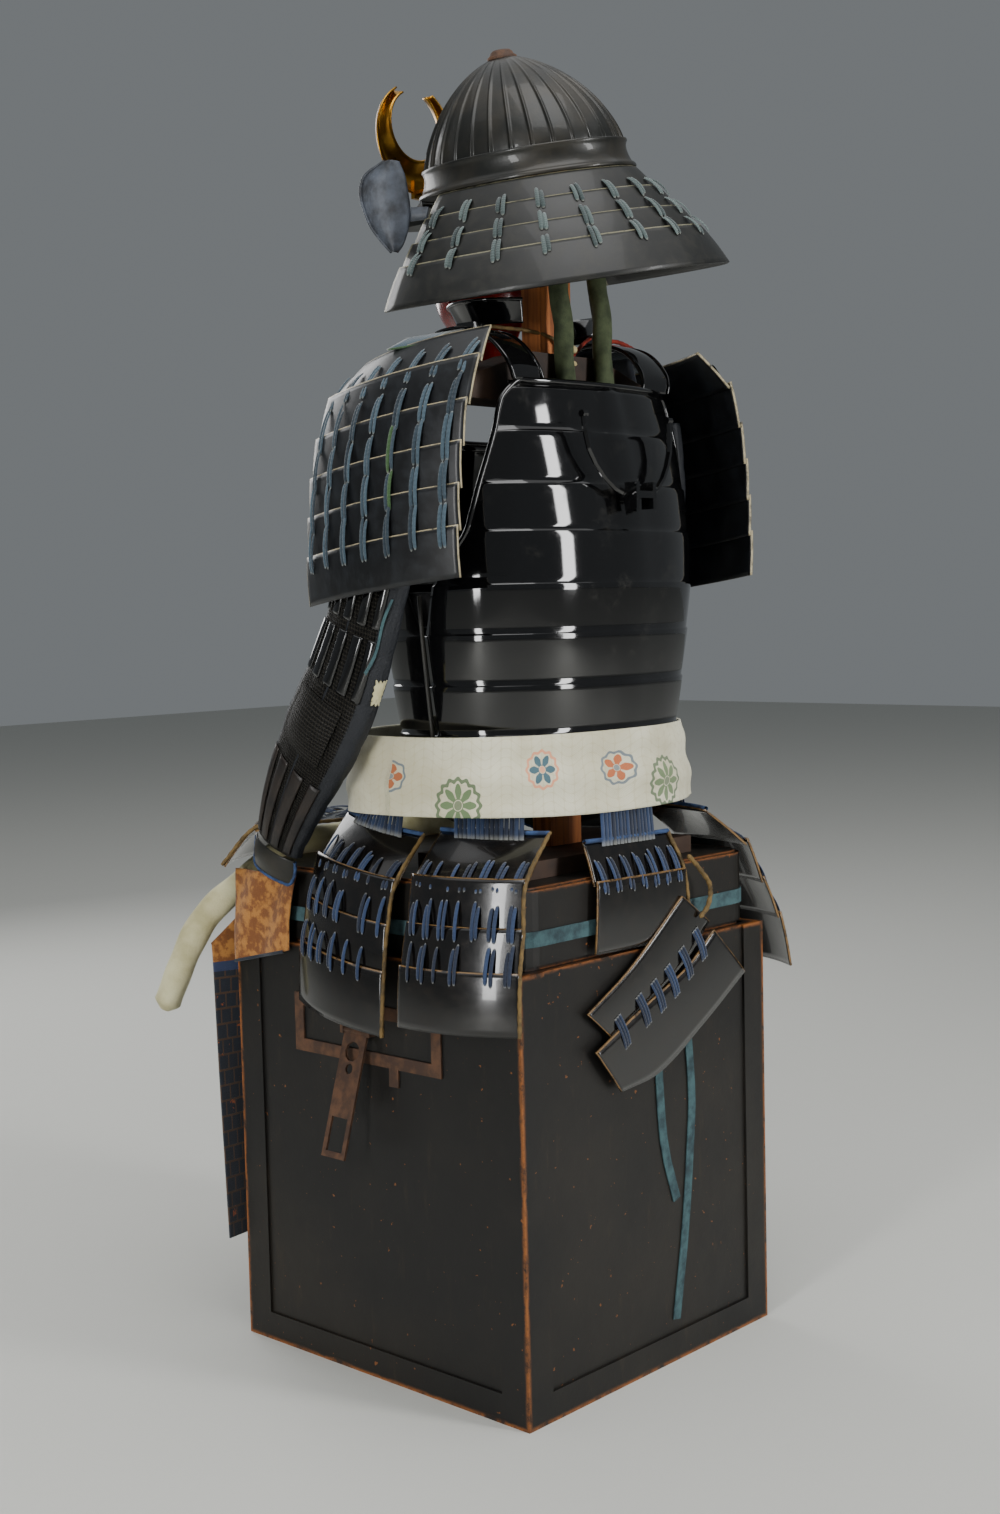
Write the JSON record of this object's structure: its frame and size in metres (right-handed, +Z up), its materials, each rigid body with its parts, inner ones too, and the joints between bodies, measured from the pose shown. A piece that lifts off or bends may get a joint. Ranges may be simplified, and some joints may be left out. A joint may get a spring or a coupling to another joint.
{
  "type": "samurai armour on armour box",
  "caption": "Samurai armour with helmet, riveted cuirass, sleeves, shoulder guards, tassets and thigh apron, on its box and stand.",
  "frame": {"origin": "middle of the box's underside", "axes": "+Z up the stand's post, the wearer faces -Y, the wearer's left is +X"},
  "size_m": [0.5986, 0.6223, 1.5345],
  "materials": {
    "box_lacquer": "worn dark lacquer over wood, brown at the edges",
    "brown_iron": "rust-brown iron",
    "post_wood": "plain orange-brown softwood",
    "dark_wood": "dark stained wood",
    "russet_iron": "matt blackened iron",
    "leather": "grey worn leather over plate",
    "gilt": "gilt metal, gloss",
    "red_lacquer": "red lacquer",
    "black_lacquer": "deep gloss black lacquer, indigo lacing",
    "sash_brocade": "ivory woven brocade with roundels",
    "indigo_cloth": "dark indigo cloth and mail",
    "cream_cloth": "cream cloth roll",
    "gold_brocade": "gold-brown brocade lining",
    "olive_cord": "olive braided cord",
    "teal_braid": "teal flat braid"
  },
  "bodies": {
    "armour": {"box_body": "box_lacquer", "box_lid": "box_lacquer", "lock_plate": "brown_iron", "stand_foot": "dark_wood", "stand_post": "post_wood", "stand_shoulder_board": "dark_wood", "helmet_bowl": "russet_iron", "helmet_band": "russet_iron", "neck_guard": "russet_iron", "helmet_visor": "russet_iron", "turnback_left": "leather", "turnback_right": "leather", "helmet_rest": "post_wood", "crest": "gilt", "face_guard": "red_lacquer", "throat_guard": "black_lacquer", "cuirass_back": "black_lacquer", "cuirass_front": "black_lacquer", "side_hinge": "russet_iron", "shoulder_strap_left": "black_lacquer", "shoulder_strap_right": "black_lacquer", "collar_wing_left": "black_lacquer", "collar_wing_right": "black_lacquer", "sash": "sash_brocade", "tasset_back": "black_lacquer", "tasset_left_back": "black_lacquer", "tasset_left": "black_lacquer", "tasset_front_left": "black_lacquer", "tasset_front_right": "black_lacquer", "tasset_right": "black_lacquer", "tasset_right_back": "black_lacquer", "shoulder_guard_left": "black_lacquer", "shoulder_guard_right": "black_lacquer", "sleeve_left": "indigo_cloth", "sleeve_right": "indigo_cloth", "arm_splints_left": "black_lacquer", "arm_splints_right": "black_lacquer", "elbow_plate_left": "black_lacquer", "elbow_plate_right": "black_lacquer", "forearm_splints_left": "black_lacquer", "forearm_splints_right": "black_lacquer", "hand_guard_left": "brown_iron", "hand_guard_right": "brown_iron", "apron_belt": "cream_cloth", "apron_left": "gold_brocade", "apron_right": "gold_brocade", "tasset_back_loose": "black_lacquer", "olive_cord_left": "olive_cord", "olive_cord_right": "olive_cord", "lid_braid": "teal_braid", "braid_tail_long": "teal_braid", "braid_tail_short": "teal_braid"},
    "banner_bracket": {"banner_bracket": "russet_iron"},
    "hasp": {"hasp": "brown_iron"}
  },
  "joints": [
    {"name": "banner_bracket_hinge", "type": "hinge", "parent": "armour", "child": "banner_bracket", "pos_m": [0, 0.214, 1.104], "axis": [1, 0, 0], "range_deg": [0, 80]},
    {"name": "hasp_hinge", "type": "hinge", "parent": "armour", "child": "hasp", "pos_m": [0.2283, -0.018, 0.41], "axis": [0, 1, 0], "range_deg": [-40, 15]}
  ]
}
